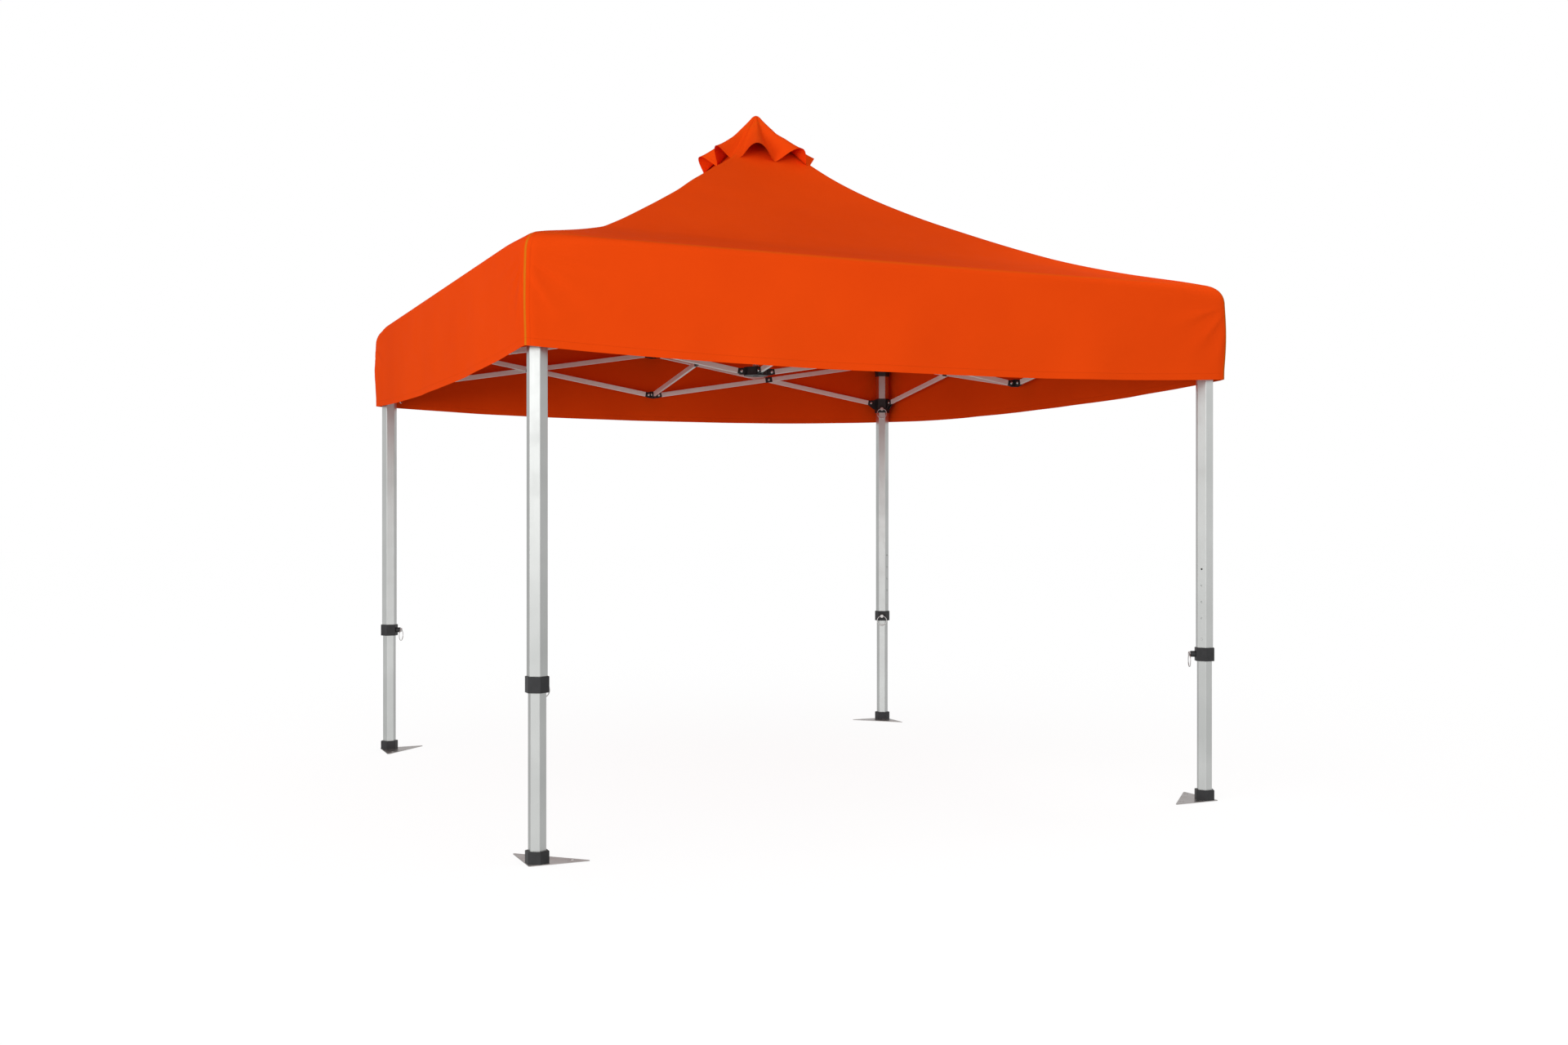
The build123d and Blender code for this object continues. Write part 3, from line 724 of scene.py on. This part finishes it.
def canopy_grid():
    """The whole sheet as columns of points from peak to hem, column 0 on the front left corner."""
    ts = side_steps(COLUMNS)[:-1]
    number = np.arange(ROWS)
    over_from = ROOF_ROWS * 0.55
    depth = np.clip((number - DROP_FROM) / DROP_ROWS, 0, 1)
    over = np.clip((number - over_from) / (DROP_FROM - over_from), 0, 1)
    points, cloth, edges = [], [], []
    for side in range(4):
        for t in ts:
            s, z = section(t, side)
            u = t * HALF
            from_corner = (1 - abs(t)) * HALF
            sign = 1 if t > 0 else -1
            # the hanging cloth waves a little more towards its hem, and hardly at the corners
            free = 1 - math.exp(-((from_corner / 0.28) ** 2))
            waves = (
                (0.83, 0.0046, 0.4 + side),
                (0.47, 0.0028, 1.9 - side),
                (0.29, 0.0012, 0.6 + 2 * side),
            )
            wave = ripples(np.full(ROWS, u + 0.7 * side) + 0.10 * depth, waves)
            out = wave * depth**1.2 * (0.25 + 0.75 * free) * (0.45 if side == 3 else 1.0)
            # tension folds fan out of each top corner into the valance
            below = depth * DROP + 0.02
            angle = np.arctan2(below, from_corner + 0.03)
            reach = np.hypot(below, from_corner)
            fan = np.sin(angle * 15.0 + 0.8 * sign + side) * np.exp(-((reach - 0.16) ** 2) / 0.020)
            fine = np.sin(angle * 31.0 + 1.7 * side - sign) * np.exp(-((reach - 0.14) ** 2) / 0.012)
            for size, folds in ((0.0024, fan), (0.0012, fine)):
                out = out + size * folds * np.clip(depth * 6, 0, 1) * np.clip(from_corner / 0.05, 0, 1)
            # the roof has long shallow folds that run in from the corners
            lift = 0.0045 * np.sin(from_corner * 13.0 + side) * np.exp(-from_corner / 0.42)
            lift = lift * over * (1 - depth) * np.clip(from_corner / 0.06, 0, 1)
            z = z + lift * (number < ROOF_ROWS)
            s = s + out
            # vertical corners are slightly rounded in plan
            ease = math.exp(-((from_corner / 0.022) ** 2)) * 0.0055
            x = t * s - sign * ease * np.clip(s / HALF, 0, 1)
            y = -s + ease * np.clip(s / HALF, 0, 1)
            points.append(quarter_turns(np.stack([x, y, z], axis=1), side))
            length = np.concatenate([[0], np.cumsum(np.hypot(np.diff(s), np.diff(z)))])
            cloth.append(np.stack([np.full(ROWS, u + side * 2 * HALF), length], axis=1))
            edges.append(np.stack([from_corner * s / HALF, length[-1] - length], axis=1))
    return np.array(points), np.array(cloth), np.array(edges)


def cloth_piece(name, points, faces, normals, uvs):
    data = bpy.data.meshes.new(name)
    data.from_pydata([tuple(p) for p in points], [], faces)
    for layer, values in uvs.items():
        made = data.uv_layers.new(name=layer)
        flat = np.array([values[v] for f in faces for v in f], np.float32)
        made.data.foreach_set("uv", flat.ravel())
    for p in data.polygons:
        p.use_smooth = True
    data.normals_split_custom_set_from_vertices([tuple(n) for n in normals])
    data.update()
    return placed(name, data)


def grid_normals(points):
    """Smooth outward normals of a columns by rows grid that closes round the mast."""
    across = np.roll(points, -1, axis=0) - np.roll(points, 1, axis=0)
    down = np.gradient(points, axis=1)
    n = np.cross(down, across)
    n /= np.maximum(np.linalg.norm(n, axis=2, keepdims=True), 1e-9)
    centre = points - np.array([0, 0, 1.0])
    flip = np.sign((n * centre).sum(axis=2, keepdims=True))
    flip[flip == 0] = 1
    return n * flip


def sectors(name, points, cloth, edges, borders):
    """Cuts the sheet into strips that share the whole sheet's normals."""
    normals = grid_normals(points)
    total, rows = points.shape[:2]
    made = []
    for i, first in enumerate(borders):
        last = borders[(i + 1) % len(borders)]
        count = (last - first) % total
        index = [(first + k) % total for k in range(count + 1)]
        pts = points[index].reshape(-1, 3)
        nrm = normals[index].reshape(-1, 3)
        uv_cloth = cloth[index].reshape(-1, 2).copy()
        uv_edges = edges[index].reshape(-1, 2)
        # the last strip ends on the first column, where the cloth's own measure starts again
        if index[-1] == 0 or uv_cloth[-1, 0] < uv_cloth[0, 0] - 1:
            uv_cloth[-rows:, 0] += 8 * HALF
        faces = []
        for c in range(count):
            for r in range(rows - 1):
                a = c * rows + r
                faces.append((a, a + 1, a + rows + 1, a + rows))
        uvs = {"cloth": uv_cloth, "edges": uv_edges}
        obj = cloth_piece(f"{name}_{i + 1:02d}", pts, faces, nrm, uvs)
        obj.data.materials.append(FABRIC)
        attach(obj, "upper_hub")
        middle = points[index[len(index) // 2]]
        hem_x, hem_y, _ = middle[-1]
        axis = Vector((hem_x, hem_y, 0)).normalized()
        wide = float(np.linalg.norm(points[index[-1], -1] - points[index[0], -1]))
        long = float(np.linalg.norm(np.diff(middle, axis=0), axis=1).sum())
        made.append((obj, axis, wide, long))
    for obj, axis, wide, long in made:
        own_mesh(obj)
    return [row[0] for row in made]


points, cloth, edges = canopy_grid()
side_t = side_steps(COLUMNS)
CUT_PLACES = (-1, -0.85, -0.65, -0.43, -0.21, 0, 0.21, 0.43, 0.65, 0.85)
cuts = [int(np.argmin(abs(side_t - t))) for t in CUT_PLACES]
borders = [side * COLUMNS + c for side in range(4) for c in cuts]
strips = sectors("canopy_strip", points, cloth, edges, borders)
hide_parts("canopy")

# ------------------------------------------------------------------ vent cap

CAP_COLUMNS, CAP_ROWS = 96, 44
CAP_TIP = 0.002  # where the cap starts from the mast
CAP_RIM = 0.203  # its rim from the mast at the corners and between the arches
# the cap's height from its tip (0) to its rim (1), between the arches and at the top of one
low_line = smooth_curve(
    (
        (0.0, 3.1225),
        (0.045, 3.1180),
        (0.12, 3.098),
        (0.25, 3.062),
        (0.50, 2.986),
        (0.75, 2.922),
        (1.0, 2.866),
    )
)
arch_line = smooth_curve(
    (
        (0.0, 3.1225),
        (0.04, 3.1180),
        (0.10, 3.101),
        (0.20, 3.076),
        (0.45, 3.020),
        (0.65, 2.981),
        (0.82, 2.951),
        (1.0, 2.923),
    )
)


def cap_grid():
    """The peak's vent cap: a small tent whose rim lifts in two arches on every side."""
    w = np.linspace(0, 1, CAP_ROWS + 1)
    opened = smooth_step(np.clip((w - 0.10) / 0.55, 0, 1))
    fluted = np.clip(w / 0.3, 0, 1) * np.clip((1 - w) / 0.35, 0, 1)
    points, cloth, edges = [], [], []
    for side in range(4):
        for t in side_steps(CAP_COLUMNS)[:-1]:
            near = abs(t - 0.045 * (1 - t * t))
            lift = math.sin(math.pi * min(near, 0.84) / 0.84) ** 2
            lift = lift**0.82
            corner = max(0.0, (near - 0.80) / 0.20)
            uneven = 0.003 * math.sin(1.7 * side + 3 * t) * lift
            rim = CAP_RIM + 0.047 * lift - 0.009 * corner + uneven
            s = CAP_TIP + (rim - CAP_TIP) * w
            z = low_line(w) + (arch_line(w) - low_line(w)) * lift * opened
            z = z - 0.004 * (1 - lift) * (1 - corner) * w**2 - 0.004 * corner * w**4
            # it lies on the roof's fuller front left hip
            if side == 0:
                z = z + 0.7 * swell_at(s) * ((1 - t) / 2) ** 3
            elif side == 3:
                z = z + 0.7 * swell_at(s) * ((1 + t) / 2) ** 3
            # a soft roll at the lip of each arch
            s = s + 0.004 * lift * np.clip((w - 0.9) / 0.1, 0, 1) ** 2
            # narrow flutes run down from the tip
            z = z + 0.0017 * np.sin(15 * t + 2 * side) * fluted
            # round in plan at the tip, square at the rim
            s = s / (1 + (math.hypot(1, t) - 1) * np.clip(1 - w / 0.30, 0, 1))
            column = quarter_turns(np.stack([t * s, -s, z], axis=1), side)
            points.append(column)
            steps = np.linalg.norm(np.diff(column, axis=0), axis=1)
            length = np.concatenate([[0], np.cumsum(steps)])
            cloth.append(np.stack([np.full(len(w), t * 0.2 + side * 0.4), length], axis=1))
            # no taped seams, and a narrower hem than the valance's
            from_hem = (length[-1] - length) * 1.6 + 0.004
            edges.append(np.stack([np.full(len(w), 0.03), from_hem], axis=1))
    return np.array(points), np.array(cloth), np.array(edges)


points, cloth, edges = cap_grid()
cap_borders = [k * CAP_COLUMNS // 4 for k in range(16)]
cap_strips = sectors("vent_strip", points, cloth, edges, cap_borders)
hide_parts("vent_cap")

# ------------------------------------------------------------------ stage, lights and camera

FLOOR_HALF, FLOOR_HEIGHT = 60.0, -0.002


def studio_floor():
    """A white sweep that takes soft shadows but throws no light back up under the roof."""
    mat, _, shader = new_material("studio_floor")
    shader.inputs["Base Color"].default_value = (0.24, 0.24, 0.24, 1)
    shader.inputs["Roughness"].default_value = 0.9
    shader.inputs["Specular IOR Level"].default_value = 0.0
    shader.inputs["Emission Color"].default_value = (1.0, 1.0, 1.0, 1)
    shader.inputs["Emission Strength"].default_value = 0.86
    data = bpy.data.meshes.new("studio_floor")
    corners = ((-1, -1), (1, -1), (1, 1), (-1, 1))
    verts = [(x * FLOOR_HALF, y * FLOOR_HALF, FLOOR_HEIGHT) for x, y in corners]
    data.from_pydata(verts, [], [(0, 1, 2, 3)])
    data.materials.append(mat)
    floor = placed("studio_floor", data)
    floor.visible_diffuse = False
    floor.visible_glossy = False
    floor.visible_shadow = False


def studio_world():
    """White to the camera; the light comes mostly from the front left, less from above and below."""
    world = bpy.data.worlds.new("studio")
    bpy.context.scene.world = world
    world.use_nodes = True
    tree = world.node_tree
    lit = tree.nodes["Background"]
    way = node(tree, "ShaderNodeTexCoord").outputs["Generated"]
    height = split_xyz(tree, way)[2]
    lobe = node(tree, "ShaderNodeVectorMath", operation="DOT_PRODUCT")
    lobe.inputs[1].default_value = (-0.50, -0.866, 0.0)
    link(tree, way, lobe.inputs[0])
    front = larger(tree, lobe.outputs["Value"], 0.0)
    front = times(tree, front, ramp(tree, height, -0.22, 0.08, 0.16, 0.55))
    around = ramp(tree, height, -0.55, -0.20, 0.17, 0.51)
    # polished faces see the pale floor, while the cloth's underside gets little light from it
    paths = node(tree, "ShaderNodeLightPath")
    around = larger(tree, around, times(tree, paths.outputs["Is Glossy Ray"], 0.51))
    above = ramp(tree, height, 0.05, 0.22, 1.0, 1.26)
    above = times(tree, above, ramp(tree, height, 0.35, 0.8, 1.0, 0.58))
    level = times(tree, maths(tree, "ADD", front, around), above)
    link(tree, level, lit.inputs["Strength"])
    lit.inputs["Color"].default_value = (1.0, 1.0, 1.0, 1)
    seen = node(tree, "ShaderNodeBackground")
    seen.inputs["Color"].default_value = (1.0, 1.0, 1.0, 1)
    pick = node(tree, "ShaderNodeMixShader")
    link(tree, paths.outputs["Is Camera Ray"], pick.inputs[0])
    link(tree, lit.outputs[0], pick.inputs[1])
    link(tree, seen.outputs[0], pick.inputs[2])
    link(tree, pick.outputs[0], tree.nodes["World Output"].inputs["Surface"])


def area_light(name, place, target, size, power, glossy=True, diffuse=True, spread=180):
    data = bpy.data.lights.new(name, "AREA")
    data.shape = "RECTANGLE"
    data.size, data.size_y = size
    data.energy = power
    data.spread = math.radians(spread)
    obj = placed(name, data)
    obj.location = place
    obj.rotation_euler = (Vector(target) - Vector(place)).to_track_quat("-Z", "Y").to_euler()
    obj.visible_glossy = glossy
    obj.visible_diffuse = diffuse
    obj.visible_camera = False


studio_floor()
studio_world()
bpy.context.scene.view_settings.view_transform = "Standard"
# the key light for the valance and the left side
area_light("key", (-11.5, -9.4, 1.7), (-0.3, -0.3, 1.7), (9.0, 4.5), 900, glossy=False)
# a sheen on the metal of the near leg
area_light("sheen", (-7.6, -6.2, 2.7), (-1.4, -1.4, 1.6), (5.0, 3.0), 27, diffuse=False)
# a soft patch on the roof's right end
area_light("top", (2.1, -1.15, 3.7), (1.30, -1.30, 2.2), (0.7, 0.7), 1.6, glossy=False, spread=60)

# the camera is solved from the photograph's leg feet, leg tops and roof corners
camera_data = bpy.data.cameras.new("camera")
camera_data.lens = 34.82
camera_data.sensor_width = 36.0
camera_data.shift_y = -0.0005
camera_data.clip_end = 200.0
camera = bpy.data.objects.new("camera", camera_data)
camera.location = (-2.860, -6.627, 1.191)
camera.rotation_euler = (math.radians(90), 0, -math.radians(24.405))
bpy.context.scene.collection.objects.link(camera)
bpy.context.scene.camera = camera
